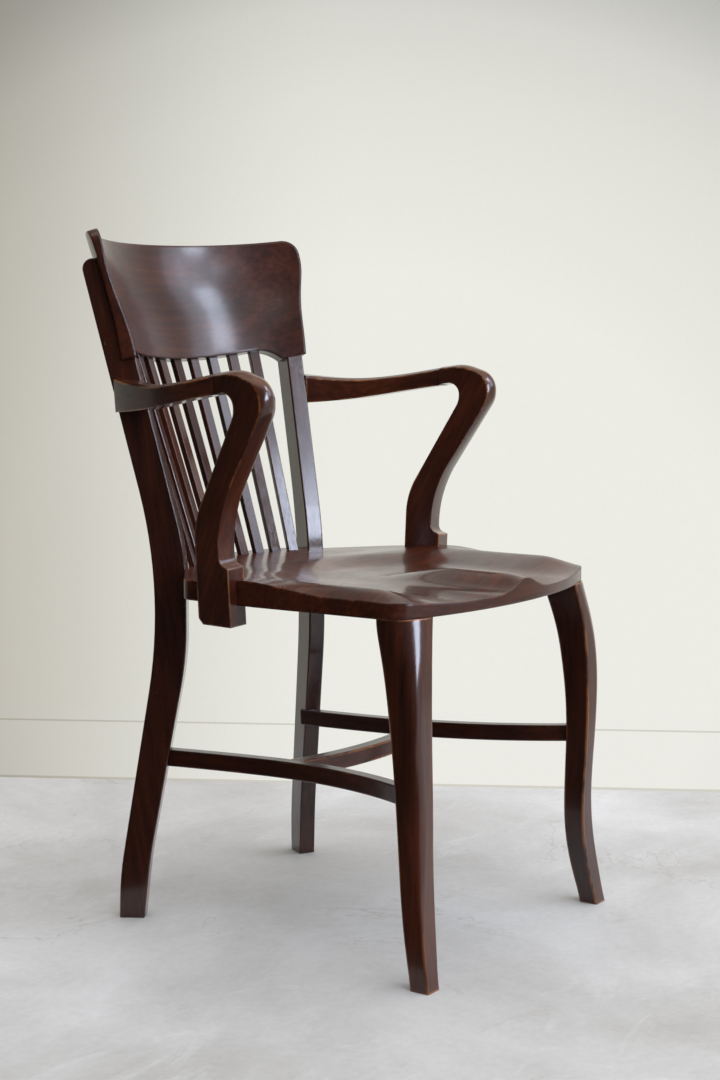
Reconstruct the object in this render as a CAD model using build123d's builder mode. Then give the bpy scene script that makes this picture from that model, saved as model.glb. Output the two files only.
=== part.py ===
from build123d import *
import math
import os

# Captains chair: a solid-seat wooden armchair, built piece by piece as a chairmaker would.
#
# Millimetres. +Z is up and the chair faces -Y. The origin is on the floor, under the middle
# of the chair's overall width and depth. "Left" is the sitter's left, which is +X.

# ---------------------------------------------------------------- driving dimensions
# Seat
seat_underside = 424.0          # height of the seat's flat underside
seat_stock = 34.0               # thickness of the board before it is saddled
seat_front_y = -304.0           # front edge on the centre line
seat_front_radius = 640.0       # bow of the front edge, seen from above
seat_corner_x = 222.0           # where the front edge and the side would meet
seat_corner_radius = 36.0
seat_wing = (229.0, -72.0)      # widest point of the side, just ahead of the arm support
seat_behind_support = (225.0, 30.0)
seat_waist = (206.0, 57.0)      # the side turns in here towards the rear post
seat_rear_y = 176.3             # rear edge on the centre line
seat_rear_radius = 262.6

# Saddle of the seat: heights above the underside, and where they blend into each other
saddle_rim = 30.0               # side ridges
saddle_rear_rim = 23.5          # flat band at the posts and slats
saddle_bottom = 15.5            # lowest part of the dish
saddle_front_trough = 12.5      # troughs for the thighs at the front edge
saddle_front_corner = 15.5      # front corners
front_trough_fade = (-284.0, -154.0)
pommel_height = 32.5            # central ridge between the troughs
pommel_nose_drop = 4.0          # the ridge rounds down to the front edge
pommel_half_width = 34.0
pommel_fade = (-205.0, -85.0)   # the ridge rises from the dish between these depths
pommel_nose = (-304.0, -270.0)
side_ridge_x = 200.0            # where the side ridge runs
side_ridge_fade = (-292.0, -212.0)
side_trough_width = 84.0        # from the ridge down to the flat of the dish
side_roll_width = 26.0          # the side rolls down outside the ridge
side_roll_drop = 11.0
side_roll_fade = (-185.0, -55.0)
rim_slope = (-60.0, 60.0)       # the rim drops from the ridges to the rear band
rear_slope = (78.0, 158.0)      # dish rises to the rear band between these distances
rear_slope_fade = (-110.0, 0.0)
saddle_grid = 14.0              # spacing of the points that the saddle passes through
saddle_grid_columns = range(-18, 19)
saddle_grid_rows = range(-23, 16)

# Rear posts: flat planks standing askew, so that they follow the curve of the back
post_corner = (148.6, 101.3)    # outer front corner at the seat's underside
post_turn = 30.96               # plan angle between the plank's faces and the Y axis
post_lean = 1.19                # the posts lean towards each other going up
post_thickness = 23.0
post_top = 835.5
# Side outline of a post: (distance behind the corner, height, corner radius)
post_outline = [
    (57.5, -10.0, 0.0),
    (48.0, 80.0, 600.0),
    (0.0, 337.0, 400.0),
    (0.0, 467.0, 325.0),
    (92.1, post_top, 0.0),
    (131.1, post_top, 13.0),
    (27.5, 421.0, 632.0),
    (87.2, 55.0, 400.0),
    (88.5, -10.0, 0.0),
]
post_arris = 1.3

# Curved back: slats and crest rail lie on a circle about an axis that is raked backwards
back_axis_y = -106.3            # where the axis crosses the level of axis_height
axis_height = 455.0
back_rake = 17.786
slat_count = 9
slat_width = 14.9
slat_thickness = 8.0
slat_foot_radius = 242.4        # front of the slats, at the seat
slat_top_radius = 249.0         # front of the slats, at the crest rail
slat_foot_station = 74.0        # distance along the back axis
slat_foot_pitch = 6.45          # degrees between slats
slat_top_pitch = 7.62
slat_seat_tenon = 9.0
slat_crest_tenon = 8.0
slat_arris = 0.8
mortise_clearance = 0.1

# Crest rail: section as (radius, station along the back axis)
crest_lug_station = 326.5       # bottom of the lugs in front of the posts
crest_front = [
    (244.6, crest_lug_station),
    (246.0, 365.0),
    (249.6, 392.0),
    (253.8, 419.0),
    (256.2, 446.0),
    (255.9, 467.0),
    (257.5, 524.0),
]
crest_back_radius = 263.2       # back face, up to where it flares
crest_back = [
    (crest_back_radius, crest_lug_station),
    (crest_back_radius, 424.0),
    (265.5, 457.0),
    (268.5, 524.0),
]
crest_relief = 19.0             # the bottom edge is this much above the lugs
crest_top_station = 509.5       # top edge on the centre line
crest_crown_radius = 1090.0
# The ends are sawn square to the rail's face at this angle round the back axis. Places across
# the rail are measured there, from the line through the axis.
crest_end_angle = 31.0
crest_end_outline = [
    (66.6, crest_lug_station),
    (69.3, 342.0),
    (78.4, 393.0),
    (87.9, 426.0),
    (93.5, 445.0),
    (95.6, 463.0),
]
crest_corner_radius = 24.0
crest_cove_start = -7.0         # the bottom edge sweeps down to the lugs between these places
crest_cove_end = 33.0
crest_half_overlap = 150.0      # the cuts of either end reach past the middle
crest_shoulder_radius = 255.0   # the top edge runs on straight here, to the rounded corner
crest_shoulder_angle = 47.0

# Arm supports: S-shaped, leaning outwards, housed in the sides of the seat
support_corner = (243.5, -40.8)  # outer front corner at the ledge
support_ledge = 468.0
support_splay = 6.0             # plan angle
support_lean = 3.72
support_thickness = 27.0
# Outlines at mid thickness, above the ledge: (distance behind the outer front corner, height,
# corner radius, and how far the point is moved in depth and height at the two side faces)
support_front = [
    (0.0, 0.0, 0.0, 0.0, 0.0),
    (13.3, 4.5, 10.0, 0.0, 0.0),
    (13.3, 58.6, 152.0, 0.5, 0.0),
    (-70.6, 187.5, 30.0, 5.5, -3.0),
    (-70.6, 218.5, 28.0, 5.5, -4.0),
    (-26.1, 233.6, 60.0, 0.0, -4.2),
]
support_rear = [
    (-20.5, 208.0, 16.0, -2.0, 1.2),
    (-20.5, 182.0, 26.0, -2.5, 0.0),
    (52.5, 52.6, 96.0, -1.0, 0.0),
]
support_joint_crown = -3.4      # how far the top edge drops at the side faces, at the elbow joint
block_depth = 52.5
block_below_ledge = 70.0
block_chamfer = 7.0
elbow_joint = 8.0               # the arm rail butts on the support here, behind the corner
elbow_top = 229.0               # heights above the ledge at that joint
elbow_underside = 204.5

# Arm rails: (depth, height) of the upper and under surfaces
arm_top = [(-11.5, 692.8), (42.5, 684.4), (95.0, 680.8), (140.0, 683.5), (190.0, 690.0)]
arm_underside = [(-11.5, 669.0), (40.5, 660.6), (92.5, 652.2), (150.0, 646.5), (190.0, 644.0)]
arm_inner_rear = (168.5, 146.0)
arm_outer_rear = (188.0, 178.5)
arm_reference_height = 640.0
arm_overlap = 10.0              # the blanks run on past their joints by this much, or more
arm_crown = (7.0, 3.0)          # the top edges fall away: width across the top, drop

# Front legs: (share of the seat's height, centre x, centre y, width, depth, and the radius of
# the corner that looks outwards and forwards)
leg_sections = [
    (0.0, 204.8, -292.1, 24.5, 25.5, 1.6),
    (0.094, 200.4, -284.4, 27.0, 26.4, 2.2),
    (0.212, 196.2, -277.1, 29.6, 28.0, 5.0),
    (0.354, 197.3, -274.6, 30.5, 29.6, 12.0),
    (0.495, 201.7, -275.2, 32.6, 31.4, 15.0),
    (0.637, 204.6, -273.9, 34.0, 34.2, 12.5),
    (0.755, 204.2, -270.4, 34.8, 38.6, 12.0),
    (0.849, 202.3, -266.3, 37.4, 42.6, 19.0),
    (0.932, 198.3, -260.4, 42.2, 46.6, 29.0),
    (1.0, 194.7, -256.5, 49.6, 46.4, 40.0),
]
leg_arris = 1.5
leg_tenon_diameter = 25.0
leg_tenon_length = 12.0
leg_tenon_end_gap = 0.5

# Stretchers
side_stretcher_rear = (151.5, 136.0)    # ends of its centre line, seen from above
side_stretcher_bow = (146.9, 60.0)
side_stretcher_middle = (145.3, -15.0)
side_stretcher_front = (207.0, -267.0)
side_stretcher_width = 17.0
side_stretcher_height = 21.0
stretcher_top = 217.0           # at the rear posts
stretcher_top_y = 114.8
stretcher_slope = 2.47          # degrees, rising towards the front
cross_middle_y = -88.0
cross_end = (142.5, -62.6)
cross_width = 21.0
cross_height = 20.0
stretcher_tenon_height = 11.0
stretcher_tenon_width = 12.0
stretcher_arris = 1.2

# Flat dowels, hidden in the joints: (width, thickness, length on either side of the joint)
dowel_clearance = 0.1
crest_dowel = (60.0, 8.0, 8.0, 14.0)
crest_dowel_rise = 55.0         # above the bottom of the lugs
crest_dowel_angle = 43.5        # round the back axis, at the middle of the post
arm_dowel = (16.0, 12.0, 13.0, 8.0)
arm_dowel_place = (64.0, 664.0)     # distance behind the post's front corner, and height
elbow_dowel = (14.0, 10.0, 18.0, 14.0)
support_dowel = (30.0, 10.0, 15.0, 28.0)
support_dowel_place = (26.0, -29.0)     # distance behind the ledge's corner, and height above it
seat_post_dowel = (12.0, 10.0, 14.0, 15.0)
seat_post_dowel_place = (12.0, 12.0)    # behind the post's front corner, above the underside

# ---------------------------------------------------------------- derived values
crest_bottom_station = crest_lug_station + crest_relief
slat_top_station = crest_bottom_station + slat_crest_tenon
elbow_dowel_rise = (elbow_top + elbow_underside) / 2
turn = math.radians(post_turn)
lean = math.radians(post_lean)
rake = math.radians(back_rake)
splay = math.radians(support_splay)
tip = math.radians(support_lean)
back_up = Vector(0, math.sin(rake), math.cos(rake))
back_out = Vector(0, math.cos(rake), -math.sin(rake))
axis_origin = Vector(0, back_axis_y, axis_height)
post_back = Vector(math.sin(turn), math.cos(turn), 0)
post_out = Vector(
    math.cos(turn) * math.cos(lean), -math.sin(turn) * math.cos(lean), math.sin(lean)
)
post_plane = Plane(
    origin=(post_corner[0], post_corner[1], seat_underside), x_dir=post_back, z_dir=post_out
)
support_backwards = Vector(-math.sin(splay), math.cos(splay), 0)
support_out = Vector(
    math.cos(splay) * math.cos(tip), math.sin(splay) * math.cos(tip), -math.sin(tip)
)
support_plane = Plane(
    origin=(support_corner[0], support_corner[1], support_ledge),
    x_dir=support_backwards,
    z_dir=support_out,
)
support_up = support_plane.y_dir
stretcher_plane = Plane(
    origin=(0, stretcher_top_y, stretcher_top),
    x_dir=(1, 0, 0),
    z_dir=(0, math.sin(math.radians(stretcher_slope)), math.cos(math.radians(stretcher_slope))),
)
crest_plane = Plane(origin=axis_origin, x_dir=(1, 0, 0), z_dir=-back_out)
far = 400.0                     # long enough to pass right through any piece


def on_back(radius, station, angle):
    """A point of the curved back from its radius, station along the axis and angle."""
    around = math.radians(angle)
    outwards = back_out * math.cos(around) + Vector(1, 0, 0) * math.sin(around)
    return axis_origin + back_up * station + outwards * radius


def post_point(depth, height, inwards=0.0):
    """A point of the left post from its depth, height above the floor and distance inwards."""
    return post_plane.from_local_coords((depth, height - seat_underside, -inwards))


os.makedirs("parts", exist_ok=True)


# ---------------------------------------------------------------- dowels (left side)
def flat_dowel(size, centre, direction, width_direction, growth):
    """A flat dowel through a joint at `centre`. Grown all round, it is its own mortise."""
    width, thickness, before, after = size
    start = centre - direction * (before + growth)
    with BuildPart() as dowel:
        with BuildSketch(Plane(origin=start, x_dir=width_direction, z_dir=direction)):
            Rectangle(width + 2 * growth, thickness + 2 * growth)
        extrude(amount=before + after + 2 * growth)
    return dowel.part


def crest_joint(growth):
    station = crest_lug_station + crest_dowel_rise
    centre = on_back(crest_back_radius, station, crest_dowel_angle)
    outwards = on_back(1, 0, crest_dowel_angle) - axis_origin
    return flat_dowel(crest_dowel, centre, outwards, back_up, growth)


def arm_joint(growth):
    centre = post_point(*arm_dowel_place)
    return flat_dowel(arm_dowel, centre, post_out, post_back, growth)


def elbow_joint_dowel(growth):
    centre = support_plane.from_local_coords(
        (elbow_joint, elbow_dowel_rise, -support_thickness / 2)
    )
    return flat_dowel(elbow_dowel, centre, support_backwards, support_out, growth)


def support_joint(growth):
    centre = support_plane.from_local_coords((*support_dowel_place, -support_thickness))
    return flat_dowel(support_dowel, centre, -support_out, support_backwards, growth)


def seat_post_joint(growth):
    depth, rise = seat_post_dowel_place
    centre = post_point(depth, seat_underside + rise, post_thickness)
    return flat_dowel(seat_post_dowel, centre, -post_out, post_back, growth)


# ---------------------------------------------------------------- rear post blank (left)
def long_edges(part, normal):
    """Edges of the flat faces that look along `normal` or against it."""
    flat_faces = part.faces().filter_by(GeomType.PLANE)
    return flat_faces.filter_by(lambda face: abs(face.normal_at().dot(normal)) > 0.999).edges()


with BuildPart() as post_blank:
    with BuildSketch(post_plane):
        with BuildLine():
            FilletPolyline(
                *[(depth, height - seat_underside) for depth, height, _ in post_outline],
                radius=[radius for _, _, radius in post_outline],
                close=True,
            )
        make_face()
    extrude(amount=-post_thickness)
    chamfer(long_edges(post_blank.part, post_out), post_arris)
    split(bisect_by=Plane.XY, keep=Keep.TOP)

# ---------------------------------------------------------------- front leg blank (left)
def leg_corner(sketch, looking_out, looking_forwards):
    """One corner of a leg's section, as a list of its vertex."""
    across = sketch.vertices().group_by(Axis.X)[-1 if looking_out else 0]
    return across.group_by(Axis.Y)[0 if looking_forwards else -1]


with BuildPart() as leg_blank:
    for share, centre_x, centre_y, width, depth, corner_radius in leg_sections:
        with BuildSketch(Plane.XY.offset(share * seat_underside)) as leg_section:
            with Locations((centre_x, centre_y)):
                Rectangle(width, depth)
            chamfer(leg_corner(leg_section, True, False), leg_arris)
            chamfer(leg_corner(leg_section, False, False), leg_arris)
            chamfer(leg_corner(leg_section, False, True), leg_arris)
            fillet(leg_corner(leg_section, True, True), corner_radius)
    loft()


# ---------------------------------------------------------------- stretchers
def side_stretcher_bar(width, height, drop):
    """The side stretcher's line, `width` by `height`, starting `drop` below its top."""
    rear, bow, middle, front = [
        (x, y - stretcher_top_y)
        for x, y in (side_stretcher_rear, side_stretcher_bow,
                     side_stretcher_middle, side_stretcher_front)
    ]
    with BuildPart() as bar:
        with BuildSketch(stretcher_plane.offset(-drop)):
            with BuildLine():
                rear_arc = ThreePointArc(rear, bow, middle)
                TangentArc(middle, front, tangent=rear_arc % 1)
                offset(amount=width / 2, side=Side.BOTH)
            make_face()
        extrude(amount=-height)
    return bar.part


def cross_stretcher_bar(width, height, drop):
    """The cross stretcher's arc, from one side stretcher into the other."""
    end_x, end_y = cross_end
    with BuildPart() as bar:
        with BuildSketch(stretcher_plane.offset(-drop)):
            with BuildLine():
                ThreePointArc(
                    (-end_x, end_y - stretcher_top_y),
                    (0, cross_middle_y - stretcher_top_y),
                    (end_x, end_y - stretcher_top_y),
                )
                offset(amount=width / 2, side=Side.BOTH)
            make_face()
        extrude(amount=-height)
    return bar.part


tenon_drop = (side_stretcher_height - stretcher_tenon_height) / 2
side_tenon = side_stretcher_bar(stretcher_tenon_width, stretcher_tenon_height, tenon_drop)
cross_tenon = cross_stretcher_bar(stretcher_tenon_width, stretcher_tenon_height, tenon_drop)

with BuildPart() as side_stretcher:
    add(side_stretcher_bar(side_stretcher_width, side_stretcher_height, 0))
    chamfer(long_edges(side_stretcher.part, stretcher_plane.z_dir), stretcher_arris)
    add(post_blank.part, mode=Mode.SUBTRACT)
    add(leg_blank.part, mode=Mode.SUBTRACT)
    add(side_tenon)
    add(cross_tenon, mode=Mode.SUBTRACT)

with BuildPart() as cross_stretcher:
    add(cross_stretcher_bar(cross_width, cross_height, 0))
    chamfer(long_edges(cross_stretcher.part, stretcher_plane.z_dir), stretcher_arris)
    add(side_stretcher_bar(side_stretcher_width, side_stretcher_height + 1, 0), mode=Mode.SUBTRACT)
    add(
        mirror(side_stretcher_bar(side_stretcher_width, side_stretcher_height + 1, 0), Plane.YZ),
        mode=Mode.SUBTRACT,
    )
    add(cross_tenon)

# ---------------------------------------------------------------- slats
def slat_bar(index, clearance):
    """Slat `index` (0 is the middle one) with its tenons, grown by `clearance` for a mortise."""
    foot = on_back(slat_foot_radius, slat_foot_station, index * slat_foot_pitch)
    top = on_back(slat_top_radius, slat_top_station, index * slat_top_pitch)
    along = (top - foot).normalized()
    outwards = on_back(1, 0, index * (slat_foot_pitch + slat_top_pitch) / 2) - axis_origin
    start = foot + along * ((slat_bottom - clearance - foot.Z) / along.Z)
    bar_plane = Plane(origin=start, x_dir=outwards.cross(along), z_dir=along)
    with BuildPart() as bar:
        with BuildSketch(bar_plane):
            with Locations(bar_plane.to_local_coords(start + outwards * slat_thickness / 2)):
                Rectangle(slat_width + 2 * clearance, slat_thickness + 2 * clearance)
        extrude(amount=(top - start).length + clearance)
        if clearance == 0:
            chamfer(bar.edges().filter_by(Axis(start, along)), slat_arris)
    return bar.part


slat_bottom = seat_underside + saddle_rear_rim - slat_seat_tenon
slat_indices = range(-(slat_count // 2), slat_count // 2 + 1)
slats = [slat_bar(index, 0) for index in slat_indices]
slat_mortises = [slat_bar(index, mortise_clearance) for index in slat_indices]

# ---------------------------------------------------------------- crest rail
section_plane = Plane(origin=axis_origin, x_dir=back_out, z_dir=(1, 0, 0))
back_axis = Axis(axis_origin, back_up)


def crest_end_plane(side):
    """The plane that the outline of an end is drawn on; it is cut square to this plane."""
    outwards = on_back(1, 0, side * crest_end_angle) - axis_origin
    across = back_up.cross(outwards) * -side
    return Plane(origin=axis_origin, x_dir=across, z_dir=outwards * -side)


def crest_shoulder(angle):
    """Where the top edge crosses an angle round the axis, drawn on the end's plane."""
    x = crest_shoulder_radius * math.sin(math.radians(angle))
    across = crest_shoulder_radius * math.sin(math.radians(angle - crest_end_angle))
    drop = crest_crown_radius - math.sqrt(crest_crown_radius**2 - x**2)
    return Vector(across, crest_top_station - drop)


with BuildPart() as crest_rail:
    with BuildSketch(section_plane):
        with BuildLine():
            front_edge = Spline(*crest_front)
            back_edge = Spline(*crest_back)
            Line(front_edge @ 0, back_edge @ 0)
            Line(front_edge @ 1, back_edge @ 1)
        make_face()
    revolve(axis=back_axis)
    with BuildSketch(crest_plane) as crest_outline:
        with Locations((0, crest_top_station - crest_crown_radius)):
            Circle(crest_crown_radius)
    extrude(amount=-far, mode=Mode.INTERSECT)
    shoulder = crest_shoulder(crest_shoulder_angle)
    shoulder_slope = (shoulder - crest_shoulder(crest_shoulder_angle - 1)).normalized()
    end_x = crest_end_outline[-1][0]
    corner = shoulder + shoulder_slope * ((end_x - shoulder.X) / shoulder_slope.X)
    for side in (-1, 1):
        with BuildSketch(crest_end_plane(side)):
            with BuildLine():
                bottom = Line(
                    (-crest_half_overlap, crest_bottom_station),
                    (crest_cove_start, crest_bottom_station),
                )
                cove = TangentArc(
                    bottom @ 1, (crest_cove_end, crest_lug_station), tangent=bottom % 1
                )
                lug = Line(cove @ 1, crest_end_outline[0])
                end = Spline(*crest_end_outline)
                top = FilletPolyline(
                    end @ 1, corner, corner - shoulder_slope * far, radius=crest_corner_radius
                )
                Polyline(
                    top @ 1, (-far, 0), (-crest_half_overlap, 0), bottom @ 0
                )
            make_face()
        extrude(amount=-side * far, mode=Mode.INTERSECT)
    for mortise in slat_mortises:
        add(mortise, mode=Mode.SUBTRACT)

# Everything in front of the crest rail's back: the posts are scribed to it.
with BuildPart() as crest_housing:
    with BuildSketch(section_plane):
        with BuildLine():
            back_edge = Spline(*crest_back)
            Polyline(
                back_edge @ 1,
                (slat_top_radius - far / 4, crest_back[-1][1]),
                (slat_top_radius - far / 4, crest_lug_station),
                back_edge @ 0,
            )
        make_face()
    revolve(axis=back_axis)


# ---------------------------------------------------------------- arm support blank (left)
def support_outline(at_faces):
    """The support's outline, at mid thickness (0) or at its side faces (1)."""
    joint = [
        (elbow_joint, elbow_top, 0.0, 0.0, support_joint_crown),
        (elbow_joint, elbow_underside, 0.0, 0.0, 0.0),
    ]
    block = [
        (block_depth, block_chamfer - block_below_ledge, 0.0, 0.0, 0.0),
        (block_depth - block_chamfer, -block_below_ledge, 0.0, 0.0, 0.0),
        (0.0, -block_below_ledge, 0.0, 0.0, 0.0),
    ]
    corners = [*support_front, *joint, *support_rear, *block]
    return FilletPolyline(
        *[(x + at_faces * move_x, y + at_faces * move_y) for x, y, _, move_x, move_y in corners],
        radius=[radius for _, _, radius, _, _ in corners],
        close=True,
    )


with BuildPart() as support_blank:
    for inwards, at_faces in ((0, 1), (support_thickness / 2, 0), (support_thickness, 1)):
        with BuildSketch(support_plane.offset(-inwards)):
            with BuildLine():
                support_outline(at_faces)
            make_face()
    loft()

# ---------------------------------------------------------------- arm rail blank (left)
reference_drop = (arm_reference_height - support_ledge) / support_up.Z
joint_plane = Plane(
    origin=support_plane.from_local_coords((elbow_joint, 0)),
    x_dir=support_out,
    z_dir=support_backwards,
)
joint_outer = support_plane.from_local_coords((elbow_joint, reference_drop))
joint_inner = support_plane.from_local_coords((elbow_joint, reference_drop, -support_thickness))
arm_length = arm_outer_rear[1] - joint_outer.Y

with BuildPart() as arm_blank:
    with BuildSketch(Plane.XY.offset(arm_reference_height - 20)):
        with BuildLine():
            outer = TangentArc(
                (joint_outer.X, joint_outer.Y), arm_outer_rear, tangent=support_backwards
            )
            inner = TangentArc(
                (joint_inner.X, joint_inner.Y), arm_inner_rear, tangent=support_backwards
            )
            Line(outer @ 0, inner @ 0)
            Polyline(
                inner @ 1,
                (arm_inner_rear[0] - 15, arm_inner_rear[1] + 10),
                (arm_outer_rear[0] - 15, arm_outer_rear[1] + 20),
                outer @ 1,
            )
        make_face()
    extrude(amount=120, dir=support_up)
    with BuildSketch(Plane.YZ) as arm_side:
        with BuildLine():
            joint_y = (joint_outer.Y + joint_inner.Y) / 2
            upper_start = (joint_y, support_ledge + elbow_top * support_up.Z)
            lower_start = (joint_y, support_ledge + elbow_underside * support_up.Z)
            upper = Spline(upper_start, *arm_top)
            lower = Spline(lower_start, *arm_underside)
            Polyline(
                upper_start,
                (joint_y - arm_overlap, upper_start[1]),
                (joint_y - arm_overlap, lower_start[1]),
                lower_start,
            )
            Line(upper @ 1, lower @ 1)
        make_face()
    extrude(amount=far, mode=Mode.INTERSECT)
    arm_tops = arm_blank.faces().filter_by(lambda face: face.normal_at().Z > 0.5)
    arm_surface = arm_tops.sort_by(SortBy.AREA)[-1]
    arm_edges = arm_surface.edges().filter_by(lambda edge: edge.length > arm_length / 2)
    chamfer(arm_edges, *arm_crown, reference=arm_surface)
    split(bisect_by=post_plane, keep=Keep.TOP)

# ---------------------------------------------------------------- seat
def smooth(value, start, end):
    """0 before start, 1 after end, and a smooth step between them."""
    step = min(max((value - start) / (end - start), 0.0), 1.0)
    return step * step * (3 - 2 * step)


def blend(low, high, share):
    return low + (high - low) * share


def saddle_height(x, y):
    """Height of the saddled top above the seat's underside."""
    ridge = smooth(y, *side_ridge_fade)
    side_rim = blend(saddle_rim, saddle_rear_rim, smooth(y, *rim_slope))
    rim = blend(saddle_front_corner, side_rim, ridge)
    trough = blend(saddle_front_trough, saddle_bottom, smooth(y, *front_trough_fade))
    in_dish = 1 - smooth(abs(x), side_ridge_x - side_trough_width, side_ridge_x)
    back_distance = math.hypot(x, y - back_axis_y)
    in_dish *= 1 - smooth(back_distance, *rear_slope) * smooth(y, *rear_slope_fade)
    dish = blend(rim, trough, in_dish)
    nose = pommel_height - pommel_nose_drop * (1 - smooth(y, *pommel_nose))
    on_pommel = math.exp(-((x / pommel_half_width) ** 2)) * (1 - smooth(y, *pommel_fade))
    roll = smooth(abs(x), side_ridge_x, side_ridge_x + side_roll_width)
    roll *= ridge * (1 - smooth(y, *side_roll_fade))
    return blend(dish, nose, on_pommel) - side_roll_drop * roll


def saddle_point(column, row):
    x = column * saddle_grid
    y = row * saddle_grid
    return (x, y, seat_underside + saddle_height(x, y))


with BuildPart() as saddle:
    saddle_points = [
        [saddle_point(column, row) for column in saddle_grid_columns] for row in saddle_grid_rows
    ]
    saddle_face = Face.make_surface_from_array_of_points(saddle_points, tol=0.05, min_deg=3)
    extrude(saddle_face, amount=2 * seat_stock, dir=(0, 0, 1))

with BuildPart() as seat:
    with BuildSketch(Plane.XY.offset(seat_underside)) as seat_outline:
        with BuildLine():
            front_sag = seat_front_radius - math.sqrt(seat_front_radius**2 - seat_corner_x**2)
            corner = (seat_corner_x, seat_front_y + front_sag)
            post_front = (post_corner[0], post_corner[1])
            rear_x = post_corner[0]
            rear_end = seat_rear_y - seat_rear_radius + math.sqrt(seat_rear_radius**2 - rear_x**2)
            ThreePointArc((-corner[0], corner[1]), (0, seat_front_y), corner)
            Polyline(corner, seat_wing, seat_behind_support)
            Spline(
                seat_behind_support, seat_waist, post_front, tangents=[(-0.1, 1.0), (-0.75, 0.5)]
            )
            Line(post_front, (rear_x, rear_end))
            ThreePointArc((rear_x, rear_end), (0, seat_rear_y), (-rear_x, rear_end))
            Line((-rear_x, rear_end), (-post_front[0], post_front[1]))
            Spline(
                (-post_front[0], post_front[1]),
                (-seat_waist[0], seat_waist[1]),
                (-seat_behind_support[0], seat_behind_support[1]),
                tangents=[(-0.75, -0.5), (-0.1, -1.0)],
            )
            Polyline(
                (-seat_behind_support[0], seat_behind_support[1]),
                (-seat_wing[0], seat_wing[1]),
                (-corner[0], corner[1]),
            )
        make_face()
        fillet(seat_outline.vertices().group_by(Axis.Y)[0], seat_corner_radius)
    extrude(amount=seat_stock)
    add(saddle.part, mode=Mode.SUBTRACT)
    add(support_blank.part, mode=Mode.SUBTRACT)
    add(mirror(support_blank.part, about=Plane.YZ), mode=Mode.SUBTRACT)
    add(post_blank.part, mode=Mode.SUBTRACT)
    add(mirror(post_blank.part, about=Plane.YZ), mode=Mode.SUBTRACT)
    for mortise in slat_mortises:
        add(mortise, mode=Mode.SUBTRACT)


def mirrored(part):
    return mirror(part, about=Plane.YZ)


def save(part, name):
    part.label = name
    export_step(part, f"parts/{name}.step")


def save_pair(part, name):
    """The left piece and its mirror image on the right."""
    save(mirrored(part), f"{name}_right")
    save(part, f"{name}_left")


# ---------------------------------------------------------------- joints cut into the pieces
leg_top = leg_sections[-1]


def leg_tenon(radial_gap, end_gap):
    """The round tenon on top of the leg, or its bore with the gaps given."""
    with BuildPart() as tenon:
        with BuildSketch(Plane.XY.offset(seat_underside)):
            with Locations((leg_top[1], leg_top[2])):
                Circle(leg_tenon_diameter / 2 + radial_gap)
        extrude(amount=leg_tenon_length + end_gap)
    return tenon.part


with BuildPart() as rear_post:
    add(post_blank.part)
    add(crest_housing.part, mode=Mode.SUBTRACT)
    add(side_tenon, mode=Mode.SUBTRACT)
    add(crest_joint(dowel_clearance), mode=Mode.SUBTRACT)
    add(arm_joint(dowel_clearance), mode=Mode.SUBTRACT)
    add(seat_post_joint(dowel_clearance), mode=Mode.SUBTRACT)

with BuildPart() as front_leg:
    add(leg_blank.part)
    add(side_tenon, mode=Mode.SUBTRACT)
    add(leg_tenon(0, 0))

with BuildPart() as arm_support:
    add(support_blank.part)
    add(elbow_joint_dowel(dowel_clearance), mode=Mode.SUBTRACT)
    add(support_joint(dowel_clearance), mode=Mode.SUBTRACT)

with BuildPart() as arm_rail:
    add(arm_blank.part)
    split(bisect_by=joint_plane, keep=Keep.TOP)
    add(elbow_joint_dowel(dowel_clearance), mode=Mode.SUBTRACT)
    add(arm_joint(dowel_clearance), mode=Mode.SUBTRACT)

seat_cuts = leg_tenon(dowel_clearance, leg_tenon_end_gap)
seat_cuts += support_joint(dowel_clearance)
seat_cuts += seat_post_joint(dowel_clearance)
with BuildPart() as bored_seat:
    add(seat.part)
    add(seat_cuts, mode=Mode.SUBTRACT)
    add(mirrored(seat_cuts), mode=Mode.SUBTRACT)

with BuildPart() as bored_crest_rail:
    add(crest_rail.part)
    add(crest_joint(dowel_clearance), mode=Mode.SUBTRACT)
    add(mirrored(crest_joint(dowel_clearance)), mode=Mode.SUBTRACT)

save(bored_seat.part, "seat")
save_pair(rear_post.part, "rear_post")
save(bored_crest_rail.part, "crest_rail")
for number, slat in enumerate(slats, start=1):
    save(slat, f"slat_{number}")
save_pair(arm_support.part, "arm_support")
save_pair(arm_rail.part, "arm_rail")
save_pair(front_leg.part, "front_leg")
save_pair(side_stretcher.part, "side_stretcher")
save(cross_stretcher.part, "cross_stretcher")
for dowel, name in (
    (crest_joint(0), "crest_dowels"),
    (arm_joint(0), "arm_dowels"),
    (elbow_joint_dowel(0), "elbow_dowels"),
    (support_joint(0), "support_dowels"),
    (seat_post_joint(0), "seat_post_dowels"),
):
    save(Compound(children=[dowel.solid(), mirrored(dowel).solid()]), name)
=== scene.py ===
import math

import bpy
from mathutils import Matrix, Vector


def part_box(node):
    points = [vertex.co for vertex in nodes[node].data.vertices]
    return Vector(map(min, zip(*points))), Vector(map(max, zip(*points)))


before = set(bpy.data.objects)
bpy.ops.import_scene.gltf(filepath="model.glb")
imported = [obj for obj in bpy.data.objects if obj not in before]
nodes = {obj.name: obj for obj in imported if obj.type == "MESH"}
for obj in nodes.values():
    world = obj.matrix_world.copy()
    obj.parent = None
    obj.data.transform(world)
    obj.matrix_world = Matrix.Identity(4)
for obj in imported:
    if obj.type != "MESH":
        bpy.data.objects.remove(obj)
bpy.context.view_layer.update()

# Captains chair in varnished mahogany. Metres, +Z up, the chair faces -Y.

# ---------------------------------------------------------------- node helpers


def link(tree, output, target):
    tree.links.new(output, target)


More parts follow.
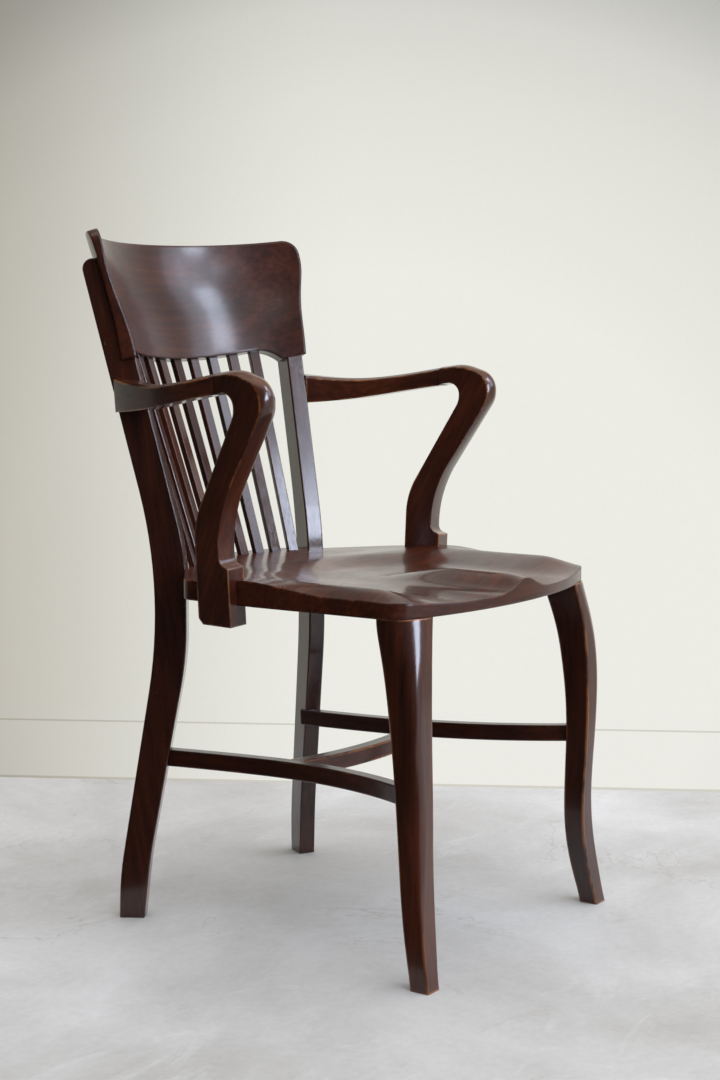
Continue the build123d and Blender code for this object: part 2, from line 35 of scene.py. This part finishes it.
def math_node(tree, operation, *values, clamp=False):
    node = tree.nodes.new("ShaderNodeMath")
    node.operation = operation
    node.use_clamp = clamp
    for socket, value in zip(node.inputs, values):
        if isinstance(value, (int, float)):
            socket.default_value = value
        else:
            link(tree, value, socket)
    return node.outputs[0]


def dot_product(tree, vector):
    """A dot product node with its first input linked to `vector`."""
    node = tree.nodes.new("ShaderNodeVectorMath")
    node.operation = "DOT_PRODUCT"
    link(tree, vector, node.inputs[0])
    return node


def mix_colour(tree, factor, first, second, blend="MIX"):
    node = tree.nodes.new("ShaderNodeMix")
    node.data_type = "RGBA"
    node.blend_type = blend
    # Sockets 6 and 7 are the two colours of a Mix node, and output 2 is its colour.
    for number, value in ((0, factor), (6, first), (7, second)):
        socket = node.inputs[number]
        if isinstance(value, bpy.types.NodeSocket):
            link(tree, value, socket)
        elif isinstance(value, tuple):
            socket.default_value = (*value, 1.0)
        else:
            socket.default_value = value
    return node.outputs[2]


def mix_shader(tree, factor, first, second):
    node = tree.nodes.new("ShaderNodeMixShader")
    link(tree, factor, node.inputs[0])
    link(tree, first, node.inputs[1])
    link(tree, second, node.inputs[2])
    return node.outputs[0]


def noise(tree, vector, scale, detail, roughness, distortion=0.0):
    node = tree.nodes.new("ShaderNodeTexNoise")
    node.inputs["Scale"].default_value = scale
    node.inputs["Detail"].default_value = detail
    node.inputs["Roughness"].default_value = roughness
    node.inputs["Distortion"].default_value = distortion
    link(tree, vector, node.inputs["Vector"])
    return node.outputs["Fac"]


def drawn_out(tree, vector, along, across, detail, roughness, distortion):
    """Noise of scale `along` on the X axis and `across` on the two others."""
    node = tree.nodes.new("ShaderNodeMapping")
    node.inputs["Scale"].default_value = (along, across, across)
    link(tree, vector, node.inputs["Vector"])
    return noise(tree, node.outputs[0], 1.0, detail, roughness, distortion)


def grey(value):
    return (value, value, value)


def ramp(tree, factor, stops):
    """A colour ramp. Each stop is a place and a colour, or a place and a grey."""
    node = tree.nodes.new("ShaderNodeValToRGB")
    elements = node.color_ramp.elements
    while len(elements) < len(stops):
        elements.new(0.5)
    for element, (place, colour) in zip(elements, stops):
        if not isinstance(colour, tuple):
            colour = grey(colour)
        element.position = place
        element.color = (*colour, 1.0)
    link(tree, factor, node.inputs[0])
    return node.outputs[0]


def separate(tree, vector):
    node = tree.nodes.new("ShaderNodeSeparateXYZ")
    link(tree, vector, node.inputs[0])
    return node.outputs


def between(tree, value, start, end):
    """0 where the value is `start`, 1 where it is `end`, smooth in between."""
    node = tree.nodes.new("ShaderNodeMapRange")
    node.interpolation_type = "SMOOTHSTEP"
    link(tree, value, node.inputs["Value"])
    node.inputs["From Min"].default_value = start
    node.inputs["From Max"].default_value = end
    return node.outputs[0]


def seen_rays(tree):
    """1 for the rays that show a surface itself: camera, mirror and see-through rays."""
    path = tree.nodes.new("ShaderNodeLightPath")
    seen = math_node(tree, "MAXIMUM", path.outputs["Is Camera Ray"], path.outputs["Is Glossy Ray"])
    return math_node(tree, "MAXIMUM", seen, path.outputs["Is Transmission Ray"])


def new_material(name):
    """A material with an empty node tree, and that tree."""
    material = bpy.data.materials.new(name)
    material.use_nodes = True
    tree = material.node_tree
    tree.nodes.clear()
    return material, tree


def object_place(tree):
    return tree.nodes.new("ShaderNodeTexCoord").outputs["Object"]


def surface(tree, shader):
    """Make `shader` the material's surface."""
    link(tree, shader, tree.nodes.new("ShaderNodeOutputMaterial").inputs[0])


# ---------------------------------------------------------------- wood
# Colours are linear.
DARK_WOOD = (0.015, 0.0040, 0.0024)
MID_WOOD = (0.052, 0.0118, 0.0050)
RED_WOOD = (0.118, 0.0280, 0.0100)
WOOD_STOPS = ((0.32, DARK_WOOD), (0.50, MID_WOOD), (0.70, RED_WOOD))
PORE_COLOUR = (0.010, 0.004, 0.003)
WORN_WOOD = (0.52, 0.185, 0.050)
RUBBED_WOOD = (0.155, 0.052, 0.017)

# Patterns: scale along the grain, scale across it, detail, roughness, distortion
BANDS = (1.6, 22.0, 3.0, 0.5, 0.6)
STREAKS = (7.0, 170.0, 4.0, 0.6, 0.0)
PATCHES = (3.0, 6.0, 2.0, 0.5, 0.0)
PORES = (55.0, 1500.0, 2.0, 0.5, 0.0)
WEAR_BREAKS = (13.0, 40.0, 5.0, 0.72, 0.0)
HAND_PATCHES = (9.0, 30.0, 4.0, 0.65, 0.0)
RIPPLE = (12.0, 90.0, 2.0, 0.5, 0.0)
# The same in all directions: scale, detail, roughness
VARNISH_CLOUD = (14.0, 3.0, 0.6)

BANDS_SHARE = 0.42
STREAKS_SHARE = 0.40
PATCHES_SHARE = 0.18
PORE_STOPS = ((0.30, 1.0), (0.42, 0.0))
PORE_SHARE = 0.45
PATTERN_STEP = (0.37, 0.11, 0.23)   # how far the pattern moves from one piece to the next

ROUNDING_SAMPLES = 6
WORN_WIDTH = 0.0042                 # radius within which an edge counts as worn
WORN_FACING = (0.985, 0.94)         # dot product of the flat and the rounded normal
WEAR_STOPS = (0.64, 0.80)           # where the broken lines of wear start and are full,
WEAR_SPREAD = 0.26                  # lower by this on fully worn pieces
WEAR_LEAST = 0.4
WEAR_GAIN = 0.6
JOINT_CLEAR = (0.004, 0.009)        # no wear this near to the butt joint of an arm
HAND_FACING = (0.25, 0.95)          # how far a surface looks up where hands rub it
HAND_REACH = (0.10, -0.10)          # from where forwards hands rub the arms
HAND_STOPS = ((0.34, 0.10), (0.62, 1.0))

VARNISH_IOR = 1.5
WOOD_SPECULAR = 0.15                # the clear coat carries most of the gloss
SMEAR_STOPS = ((0.35, 0.15), (0.70, 0.30))   # roughness under the coat, added to its own
WORN_ROUGHNESS = 0.5
RIPPLE_HEIGHT = 0.6
PORE_HEIGHT = -0.4
BUMP_STRENGTH = 0.10
BUMP_DISTANCE = 0.0006


def rounded_normal(tree, radius):
    """The surface's normal as if its edges were rounded to `radius`."""
    node = tree.nodes.new("ShaderNodeBevel")
    node.samples = ROUNDING_SAMPLES
    node.inputs["Radius"].default_value = radius
    return node.outputs[0]


def along_grain(tree, place, grain, shift):
    """The coordinates turned so that X follows `grain`, and moved by `shift`."""
    turn = tree.nodes.new("ShaderNodeMapping")
    turn.vector_type = "POINT"
    rotation = Vector(grain).normalized().to_track_quat("X", "Z").inverted().to_euler()
    turn.inputs["Rotation"].default_value = rotation
    turn.inputs["Location"].default_value = shift
    link(tree, place, turn.inputs["Vector"])
    return turn.outputs[0]


def wood_figure(tree, along, dark):
    """Broad bands, finer streaks and slow changes, as one number from dark to red."""
    bands = math_node(tree, "MULTIPLY", drawn_out(tree, along, *BANDS), BANDS_SHARE)
    streaks = math_node(tree, "MULTIPLY", drawn_out(tree, along, *STREAKS), STREAKS_SHARE)
    patches = math_node(tree, "MULTIPLY", drawn_out(tree, along, *PATCHES), PATCHES_SHARE)
    figure = math_node(tree, "ADD", math_node(tree, "ADD", bands, streaks), patches)
    return math_node(tree, "SUBTRACT", figure, dark, clamp=True)


def edge_wear(tree, along, wear):
    """Where the varnish is rubbed through: along the arrises, in broken lines."""
    facing = dot_product(tree, rounded_normal(tree, WORN_WIDTH))
    link(tree, tree.nodes.new("ShaderNodeNewGeometry").outputs["True Normal"], facing.inputs[1])
    edge = between(tree, facing.outputs["Value"], *WORN_FACING)
    start, full = WEAR_STOPS
    stops = ((start - WEAR_SPREAD * wear, 0.0), (full - WEAR_SPREAD * wear, 1.0))
    broken = ramp(tree, drawn_out(tree, along, *WEAR_BREAKS), stops)
    lines = math_node(tree, "MULTIPLY", edge, broken)
    return math_node(tree, "MULTIPLY", lines, WEAR_LEAST + WEAR_GAIN * wear)


def hand_wear(tree, along, depth):
    """Where hands rest: the top of the arms, towards the front."""
    upward = separate(tree, tree.nodes.new("ShaderNodeNewGeometry").outputs["Normal"])[2]
    rubbed = math_node(tree, "MULTIPLY", between(tree, upward, *HAND_FACING),
                       between(tree, depth, *HAND_REACH))
    patches = ramp(tree, drawn_out(tree, along, *HAND_PATCHES), HAND_STOPS)
    return math_node(tree, "MULTIPLY", rubbed, patches)


def mahogany(name, grain, wear=0.5, dark=0.0, gloss=0.10, coat=1.0, edge_round=0.002,
             handled=0.0, joint=None, shift=(0.0, 0.0, 0.0)):
    """Varnished mahogany whose grain runs along `grain`, with rubbed edges."""
    material, tree = new_material(name)
    place = object_place(tree)
    along = along_grain(tree, place, grain, shift)
    depth = separate(tree, place)[1]

    wood = ramp(tree, wood_figure(tree, along, dark), WOOD_STOPS)
    # Pores: short dark dashes along the grain.
    pores = ramp(tree, drawn_out(tree, along, *PORES), PORE_STOPS)
    wood = mix_colour(tree, math_node(tree, "MULTIPLY", pores, PORE_SHARE), wood, PORE_COLOUR)

    worn = edge_wear(tree, along, wear)
    if joint is not None:
        apart = math_node(tree, "ABSOLUTE", math_node(tree, "SUBTRACT", depth, joint))
        worn = math_node(tree, "MULTIPLY", worn, between(tree, apart, *JOINT_CLEAR))
    if handled:
        # The varnish is thin and warm there.
        rubbed = math_node(tree, "MULTIPLY", hand_wear(tree, along, depth), handled)
        wood = mix_colour(tree, rubbed, wood, RUBBED_WOOD)
    wood = mix_colour(tree, worn, wood, WORN_WOOD)

    # Varnish: hand-rubbed, slightly uneven, duller where it is worn.
    stops = [(at, gloss + more) for at, more in SMEAR_STOPS]
    smear = ramp(tree, noise(tree, along, *VARNISH_CLOUD), stops)
    roughness = mix_colour(tree, worn, smear, grey(WORN_ROUGHNESS))

    ripple = math_node(tree, "MULTIPLY", drawn_out(tree, along, *RIPPLE), RIPPLE_HEIGHT)
    relief = math_node(tree, "ADD", ripple, math_node(tree, "MULTIPLY", pores, PORE_HEIGHT))
    bump = tree.nodes.new("ShaderNodeBump")
    bump.inputs["Strength"].default_value = BUMP_STRENGTH
    bump.inputs["Distance"].default_value = BUMP_DISTANCE
    link(tree, relief, bump.inputs["Height"])
    link(tree, rounded_normal(tree, edge_round), bump.inputs["Normal"])

    shader = tree.nodes.new("ShaderNodeBsdfPrincipled")
    shader.inputs["IOR"].default_value = VARNISH_IOR
    shader.inputs["Specular IOR Level"].default_value = WOOD_SPECULAR
    shader.inputs["Coat Weight"].default_value = coat
    shader.inputs["Coat Roughness"].default_value = gloss
    link(tree, wood, shader.inputs["Base Color"])
    link(tree, roughness, shader.inputs["Roughness"])
    link(tree, bump.outputs[0], shader.inputs["Normal"])
    link(tree, bump.outputs[0], shader.inputs["Coat Normal"])
    surface(tree, shader.outputs[0])
    return material


ACROSS = (1.0, 0.0, 0.0)
FRONT_TO_BACK = (0.0, 1.0, 0.0)
UPRIGHT = (0.0, 0.0, 1.0)
ALONG_POST = (0.0, 0.15, 1.0)
ALONG_SLAT = (0.0, 0.3, 1.0)
ALONG_ARM = (0.0, 1.0, -0.05)
ALONG_SUPPORT = (0.0, -0.45, 0.9)
ARM_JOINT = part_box("arm_rail_left")[0][1]       # the butt joint of arm rail and support
FINISHES = {
    "seat": dict(grain=ACROSS, wear=0.40, gloss=0.11, coat=0.55, edge_round=0.004),
    "crest_rail": dict(grain=ACROSS, wear=0.0, gloss=0.18, coat=0.9, edge_round=0.005),
    "rear_post": dict(grain=ALONG_POST, wear=0.05, dark=0.06, gloss=0.12),
    "slat": dict(grain=ALONG_SLAT, wear=0.0, dark=0.05, gloss=0.10, edge_round=0.001),
    "arm_rail": dict(grain=ALONG_ARM, wear=0.85, gloss=0.15, edge_round=0.0035, handled=0.9,
                     joint=ARM_JOINT),
    "arm_support": dict(grain=ALONG_SUPPORT, wear=0.80, gloss=0.12, edge_round=0.0035,
                        handled=0.9, joint=ARM_JOINT),
    "front_leg": dict(grain=UPRIGHT, wear=0.90, gloss=0.13, coat=0.95, edge_round=0.003),
    "side_stretcher": dict(grain=FRONT_TO_BACK, wear=0.30, dark=0.06, gloss=0.16, coat=0.6),
    "cross_stretcher": dict(grain=ACROSS, wear=0.95, gloss=0.20, coat=0.6),
    "dowels": dict(grain=ACROSS, wear=0.0, gloss=0.3),
}


def finish_of(name):
    if name.endswith("dowels"):
        return FINISHES["dowels"]
    return next(finish for key, finish in FINISHES.items() if name.startswith(key))


for index, name in enumerate(sorted(nodes)):
    node = nodes[name]
    shift = tuple(step * index for step in PATTERN_STEP)
    node.data.materials.clear()
    node.data.materials.append(mahogany(f"{name}_varnish", shift=shift, **finish_of(name)))

# ---------------------------------------------------------------- wall and skirting
# The wall and skirting glow with painted light and shade. Each has a lit colour at the window end and
# a painted-shade colour deep in the room, and the skirting has darker painted shadow lines.
WALL_LIT = (0.845, 0.845, 0.785)
WALL_SHADED = (0.50, 0.475, 0.41)
SKIRTING_LIT = (0.84, 0.84, 0.785)
SKIRTING_SHADED = (0.50, 0.48, 0.42)
SKIRTING_SHADOW_NEAR = (0.66, 0.64, 0.57)
SKIRTING_SHADOW_FAR = (0.38, 0.35, 0.29)

WALL_FOOT_NEAR = Vector((0.8616, -0.1848, 0.0))   # two points of the wall's foot
WALL_FOOT_FAR = Vector((0.2660, 0.8606, 0.0))
WALL_REACH = 6.0
# Outline of the wall and its skirting: (distance out from the wall, height)
WALL_PROFILE = [(0.0, 5.0), (0.0, 0.122), (0.006, 0.118), (0.010, 0.110), (0.010, 0.100),
                (0.0115, 0.0975), (0.014, 0.094), (0.014, 0.004), (0.0142, 0.0)]
SKIRTING_SHADOW_STRIPS = (4, 7)          # strips of the profile painted darker as shadow, where they would catch little light

WALL_SHADE_ALONG = (0.0, 0.8)    # where the painted shade along the wall starts, and where it is all `far`
WALL_POOL_HEIGHT = 0.30          # the height of the brightest painted light on the wall
WALL_POOL = (1.07, 0.96)         # half the width and height of its painted pool of light
WALL_FALL_END = 1.25             # where the painted falling off ends, in such halves
WALL_FALL = ((0.45, 1.0), (0.68, 0.90), (0.80, 0.80), (0.90, 0.60), (1.0, 0.50))
BRUSH_MARKS = (160.0, 2.0, 0.6)  # scale, detail, roughness
BRUSH_STOPS = ((0.3, 0.985), (0.7, 1.0))

wall_line = (WALL_FOOT_FAR - WALL_FOOT_NEAR).normalized()
into_room = Vector((-wall_line.y, wall_line.x, 0.0))


def wall_material(name, near, far):
    """Wall paint that glows with painted light and shade. `near` is its lit colour at the window end
    and `far` its painted shade deep in the room. It fades out of a painted pool of light into painted
    shade.
    """
    material, tree = new_material(name)
    place = object_place(tree)
    along = dot_product(tree, place)
    along.inputs[1].default_value = wall_line
    sideways = along.outputs["Value"]
    rise = math_node(tree, "SUBTRACT", separate(tree, place)[2], WALL_POOL_HEIGHT)
    # Painted shade along the wall, from the lit colour to the shaded one.
    colour = mix_colour(tree, between(tree, sideways, *WALL_SHADE_ALONG), near, far)

    # Painted pool of light: the colour dims with the distance from its middle.
    wide = math_node(tree, "POWER", math_node(tree, "DIVIDE", sideways, WALL_POOL[0]), 2.0)
    tall = math_node(tree, "POWER", math_node(tree, "DIVIDE", rise, WALL_POOL[1]), 2.0)
    out = math_node(tree, "SQRT", math_node(tree, "ADD", wide, tall))
    fall = ramp(tree, math_node(tree, "DIVIDE", out, WALL_FALL_END), WALL_FALL)
    colour = mix_colour(tree, 1.0, colour, fall, "MULTIPLY")
    brush = ramp(tree, noise(tree, place, *BRUSH_MARKS), BRUSH_STOPS)
    colour = mix_colour(tree, 1.0, colour, brush, "MULTIPLY")

    # The wall glows with this painted light and shade instead of being lit by the lamps.
    glow = tree.nodes.new("ShaderNodeEmission")
    link(tree, colour, glow.inputs["Color"])
    # It throws no shadow, and its back is invisible, so that the other views see past it.
    clear = tree.nodes.new("ShaderNodeBsdfTransparent").outputs[0]
    front = mix_shader(tree, seen_rays(tree), clear, glow.outputs[0])
    behind = tree.nodes.new("ShaderNodeNewGeometry").outputs["Backfacing"]
    surface(tree, mix_shader(tree, behind, front, clear))
    return material


def sheet(name, corners, material):
    """A flat piece of the stage."""
    mesh = bpy.data.meshes.new(name)
    mesh.from_pydata(corners, [], [tuple(range(len(corners)))])
    piece = bpy.data.objects.new(name, mesh)
    bpy.context.scene.collection.objects.link(piece)
    mesh.materials.append(material)


wall_painted_light = wall_material("wall_painted_light", WALL_LIT, WALL_SHADED)
skirting_painted_light = wall_material("skirting_painted_light", SKIRTING_LIT, SKIRTING_SHADED)
skirting_painted_shadow = wall_material("skirting_painted_shadow", SKIRTING_SHADOW_NEAR, SKIRTING_SHADOW_FAR)


def material_of_strip(strip):
    if strip == 0:
        return wall_painted_light
    # These strips get the painted shadow.
    if strip in SKIRTING_SHADOW_STRIPS:
        return skirting_painted_shadow
    return skirting_painted_light


for index, (upper, lower) in enumerate(zip(WALL_PROFILE, WALL_PROFILE[1:])):
    corners = []
    for reach, (out, height) in ((-WALL_REACH, upper), (WALL_REACH, upper),
                                 (WALL_REACH, lower), (-WALL_REACH, lower)):
        foot = WALL_FOOT_NEAR + wall_line * reach + into_room * out
        corners.append((foot.x, foot.y, height))
    sheet(f"wall_{index}", corners, material_of_strip(index))

# ---------------------------------------------------------------- floor
FLOOR_REACH = 8.0
FLOOR_COLOUR = (0.51, 0.505, 0.495)
FLOOR_DARK = (0.40, 0.39, 0.37)
FLOOR_PALE = (0.61, 0.61, 0.605)
FLOOR_STAIN = (0.30, 0.27, 0.23)
FLOOR_BOUNCE = (0.12, 0.11, 0.10)   # its colour for the light that it throws back up
FLOOR_ROUGHNESS = 0.75
FLOOR_SPECULAR = 0.15

FLOOR_CLOUDS = (2.3, 6.0, 0.62, 0.4)             # scale, detail, roughness, distortion
FLOOR_STOPS = ((0.30, FLOOR_DARK), (0.52, FLOOR_COLOUR), (0.72, FLOOR_PALE))
SCUFFS = (5.0, 13.0, 7.0, 0.72, 1.2)             # scale along X and across, and the same
SCUFF_STOPS = ((0.55, 0.0), (0.72, 0.5))
STAINS = (3.1, 9.0, 8.0, 0.75, 2.0)
STAIN_STOPS = ((0.60, 0.0), (0.74, 0.35))
CRACKS = (1.9, 9.0, 0.62, 0.8)
CRACK_LEVEL = 0.5                                # a crack runs where the noise has this value
CRACK_WIDTH = (0.006, 0.001)
CRACK_PLACES = (3.3, 2.0, 0.55)
CRACK_PLACES_RANGE = (0.50, 0.62)
CRACK_SHARE = 0.35
GRIT = (90.0, 3.0, 0.7)
GRIT_STOPS = ((0.30, 0.93), (0.62, 1.0))


def floor_material(name):
    """Pale, worn concrete, kept plain: slow clouds, a few paler scuffs and fine grit."""
    material, tree = new_material(name)
    place = object_place(tree)
    colour = ramp(tree, noise(tree, place, *FLOOR_CLOUDS), FLOOR_STOPS)
    scuffs = ramp(tree, drawn_out(tree, place, *SCUFFS), SCUFF_STOPS)
    colour = mix_colour(tree, scuffs, colour, FLOOR_PALE)
    stains = ramp(tree, drawn_out(tree, place, *STAINS), STAIN_STOPS)
    colour = mix_colour(tree, stains, colour, FLOOR_STAIN)

    # Hairline cracks: thin wandering lines, only here and there.
    wander = math_node(tree, "SUBTRACT", noise(tree, place, *CRACKS), CRACK_LEVEL)
    line = between(tree, math_node(tree, "ABSOLUTE", wander), *CRACK_WIDTH)
    places = between(tree, noise(tree, place, *CRACK_PLACES), *CRACK_PLACES_RANGE)
    hairline = math_node(tree, "MULTIPLY", line, places)
    cracks = math_node(tree, "MULTIPLY", hairline, CRACK_SHARE)
    colour = mix_colour(tree, cracks, colour, FLOOR_STAIN)
    grit = ramp(tree, noise(tree, place, *GRIT), GRIT_STOPS)
    colour = mix_colour(tree, 1.0, colour, grit, "MULTIPLY")

    shader = tree.nodes.new("ShaderNodeBsdfPrincipled")
    shader.inputs["Roughness"].default_value = FLOOR_ROUGHNESS
    shader.inputs["Specular IOR Level"].default_value = FLOOR_SPECULAR
    # The floor throws less light back up at the chair than its own colour would.
    colour = mix_colour(tree, seen_rays(tree), FLOOR_BOUNCE, colour)
    link(tree, colour, shader.inputs["Base Color"])
    surface(tree, shader.outputs[0])
    return material


def level_sheet(name, low, high, height, material):
    """A rectangle at one height, from its low corner to its high corner."""
    left, front = low
    right, back = high
    corners = [(left, front, height), (right, front, height),
               (right, back, height), (left, back, height)]
    sheet(name, corners, material)


level_sheet("floor", (-FLOOR_REACH, -FLOOR_REACH), (FLOOR_REACH, FLOOR_REACH), 0.0,
            floor_material("floor_concrete"))

# ---------------------------------------------------------------- painted dark reflections
# Two upright sheets and one on the floor, on the side away from the windows, that paint dark
# reflections. They show in reflections only, glow dark there and block no light.
DARK_REFLECTION_COLOUR = (0.03, 0.028, 0.026)
SCREEN_PLACE = -0.95             # X of the long screen
SCREEN_INNER = -0.32             # X to which the sheet on the floor reaches
SCREEN_ENDS = (-1.0, 3.2)
SCREEN_LIFT = 0.003
SCREEN_HEIGHT = 2.4
SCREEN_CORNERS = ((SCREEN_PLACE, SCREEN_ENDS[1]), (SCREEN_PLACE, SCREEN_ENDS[0]), (-0.62, -2.0))


def dark_reflection_material(name):
    """Painted dark reflection: a dark glow for mirror rays, and invisible otherwise."""
    material, tree = new_material(name)
    dark_glow = tree.nodes.new("ShaderNodeEmission")
    dark_glow.inputs["Color"].default_value = (*DARK_REFLECTION_COLOUR, 1.0)
    clear = tree.nodes.new("ShaderNodeBsdfTransparent").outputs[0]
    mirrored = tree.nodes.new("ShaderNodeLightPath").outputs["Is Glossy Ray"]
    surface(tree, mix_shader(tree, mirrored, clear, dark_glow.outputs[0]))
    return material


dark_reflection_sheet = dark_reflection_material("dark_reflection_sheet")
level_sheet("dark_reflection_floor", (SCREEN_PLACE, SCREEN_ENDS[0]), (SCREEN_INNER, SCREEN_ENDS[1]),
            SCREEN_LIFT, dark_reflection_sheet)
for index, (start, end) in enumerate(zip(SCREEN_CORNERS, SCREEN_CORNERS[1:])):
    corners = [(*start, 0), (*end, 0), (*end, SCREEN_HEIGHT), (*start, SCREEN_HEIGHT)]
    sheet(f"screen_{index}", corners, dark_reflection_sheet)

# ---------------------------------------------------------------- world
ROOM_COLOUR = (1.0, 0.975, 0.94)
SKY_LOW = 0.12                      # light from the room's sides and from its ceiling
SKY_HIGH = 1.45
SKY_TOP = (0.40, -0.20, 0.90)
SKY_SPREAD = (0.0, 0.9)
DAYLIGHT = (0.72, 0.81, 1.0)
DAY_AXIS = (0.05, -0.93, 0.36)      # towards the windows
DAY_SPREAD = (0.4, 1.0)
DAY_STRENGTH = 1.9
PALE_ROOM = (0.50, 0.49, 0.46)

scene = bpy.context.scene
scene.view_settings.view_transform = "Standard"


def towards_axis(tree, axis, spread):
    """0 to 1 as the world's direction turns towards `axis`."""
    turned = dot_product(tree, tree.nodes.new("ShaderNodeTexCoord").outputs["Generated"])
    turned.inputs[1].default_value = Vector(axis).normalized()
    return between(tree, turned.outputs["Value"], *spread)


def background(tree, colour, strength=None):
    """A world shader, of strength 1 unless a socket gives another."""
    node = tree.nodes.new("ShaderNodeBackground")
    node.inputs["Color"].default_value = (*colour, 1.0)
    if strength is not None:
        link(tree, strength, node.inputs["Strength"])
    return node.outputs[0]


def room_world(name):
    world = bpy.data.worlds.new(name)
    world.use_nodes = True
    tree = world.node_tree
    tree.nodes.clear()
    # The light of the room: most of it from above, on the side of the windows.
    overhead = math_node(tree, "MULTIPLY", towards_axis(tree, SKY_TOP, SKY_SPREAD),
                         SKY_HIGH - SKY_LOW)
    room = background(tree, ROOM_COLOUR, math_node(tree, "ADD", overhead, SKY_LOW))
    # The daylight from the windows, even over the whole floor. It makes no highlights.
    path = tree.nodes.new("ShaderNodeLightPath")
    matt = math_node(tree, "SUBTRACT", 1.0, path.outputs["Is Glossy Ray"])
    daylight = math_node(tree, "MULTIPLY", towards_axis(tree, DAY_AXIS, DAY_SPREAD), DAY_STRENGTH)
    day = background(tree, DAYLIGHT, math_node(tree, "MULTIPLY", daylight, matt))
    light = tree.nodes.new("ShaderNodeAddShader")
    link(tree, room, light.inputs[0])
    link(tree, day, light.inputs[1])
    # What is seen and mirrored beyond the floor: a pale room.
    shown = background(tree, PALE_ROOM)
    whole = mix_shader(tree, seen_rays(tree), light.outputs[0], shown)
    link(tree, whole, tree.nodes.new("ShaderNodeOutputWorld").inputs[0])
    return world


scene.world = room_world("room")

# ---------------------------------------------------------------- lamps
PANE_CENTRE = (0.05, 0.2)        # X and Y of the point that the panes face
PANE_DISTANCE = 2.0
# Name, first and last bearing (degrees from -Y towards +X), lower and upper edge, radiance
PANES = (
    ("window_tall", 10.0, 27.0, 2.05, 2.90, 13.0),
    ("window_side", 14.0, 34.0, 1.10, 2.00, 3.0),
    ("window_end", 27.0, 48.0, 1.20, 2.90, 2.2),
)
# A long window beside the chair, seen at a slant from it, and a second one further along.
WINDOW_CENTRE = (0.0, 0.15)
WINDOW_BEARING = math.radians(60.0)     # where its plane is nearest, from -Y towards +X
WINDOW_DISTANCE = 1.6
WINDOW_LIGHTS = ((2.15, 3.0, 2.25), (3.0, 4.9, 2.0))   # ends along the wall, and top
WINDOW_SILL = 0.80
WINDOW_RADIANCE = 17.0
CEILING_PLACE = (0.2, -0.1, 2.7)
CEILING_SIZE = 2.6
CEILING_RADIANCE = 0.5
CEILING_COLOUR = (1.0, 0.955, 0.90)


def soft_light(name, place, facing, width, tall, radiance, colour):
    """A rectangular lamp that the camera doesn't see, as bright as `radiance` all over."""
    data = bpy.data.lights.new(name, "AREA")
    data.shape = "RECTANGLE"
    data.size = width
    data.size_y = tall
    data.energy = radiance * math.pi * width * tall
    data.color = colour
    lamp = bpy.data.objects.new(name, data)
    lamp.location = place
    lamp.rotation_mode = "QUATERNION"
    lamp.rotation_quaternion = Vector(facing).to_track_quat("-Z", "Y")
    lamp.visible_camera = False
    scene.collection.objects.link(lamp)
    return lamp


def window_pane(name, place, facing, width, tall, radiance):
    """A pane that shows in the varnish only. The daylight itself comes from the world."""
    lamp = soft_light(name, place, facing, width, tall, radiance, DAYLIGHT)
    lamp.visible_diffuse = False


def outwards(bearing):
    """The level direction at a bearing from -Y towards +X."""
    return Vector((math.sin(bearing), -math.cos(bearing), 0.0))


nearest = outwards(WINDOW_BEARING)
window_line = Vector((nearest.y, -nearest.x, 0.0))
for index, (start, end, top) in enumerate(WINDOW_LIGHTS):
    middle = Vector((*WINDOW_CENTRE, (WINDOW_SILL + top) / 2)) + nearest * WINDOW_DISTANCE
    middle += window_line * (start + end) / 2
    window_pane(f"window_{index}", middle, -nearest, end - start, top - WINDOW_SILL,
                WINDOW_RADIANCE)
for name, first, last, low, high, radiance in PANES:
    towards = outwards(math.radians((first + last) / 2))
    width = 2 * PANE_DISTANCE * math.tan(math.radians((last - first) / 2))
    middle = Vector((*PANE_CENTRE, (low + high) / 2)) + towards * PANE_DISTANCE
    window_pane(name, middle, -towards, width, high - low, radiance)
soft_light("ceiling", CEILING_PLACE, (0.0, 0.0, -1.0), CEILING_SIZE, CEILING_SIZE,
           CEILING_RADIANCE, CEILING_COLOUR)

# ---------------------------------------------------------------- camera, as the photograph
CAMERA_PLACE = (-1.9373, -1.3942, 0.7417)
CAMERA_RIGHT = Vector((0.566816, -0.823844, 0.000535))
CAMERA_UP = Vector((0.090056, 0.062605, 0.993967))
CAMERA_AHEAD = Vector((0.818907, 0.563349, -0.109677))
CAMERA_LENS = 62.165            # millimetres, for the sensor below on the long side
CAMERA_SENSOR = 36.0

camera_data = bpy.data.cameras.new("camera")
camera_data.lens = CAMERA_LENS
camera_data.sensor_width = CAMERA_SENSOR
camera = bpy.data.objects.new("camera", camera_data)
turn = Matrix((CAMERA_RIGHT, CAMERA_UP, -CAMERA_AHEAD)).transposed()
camera.matrix_world = Matrix.Translation(CAMERA_PLACE) @ turn.to_4x4()
scene.collection.objects.link(camera)
scene.camera = camera
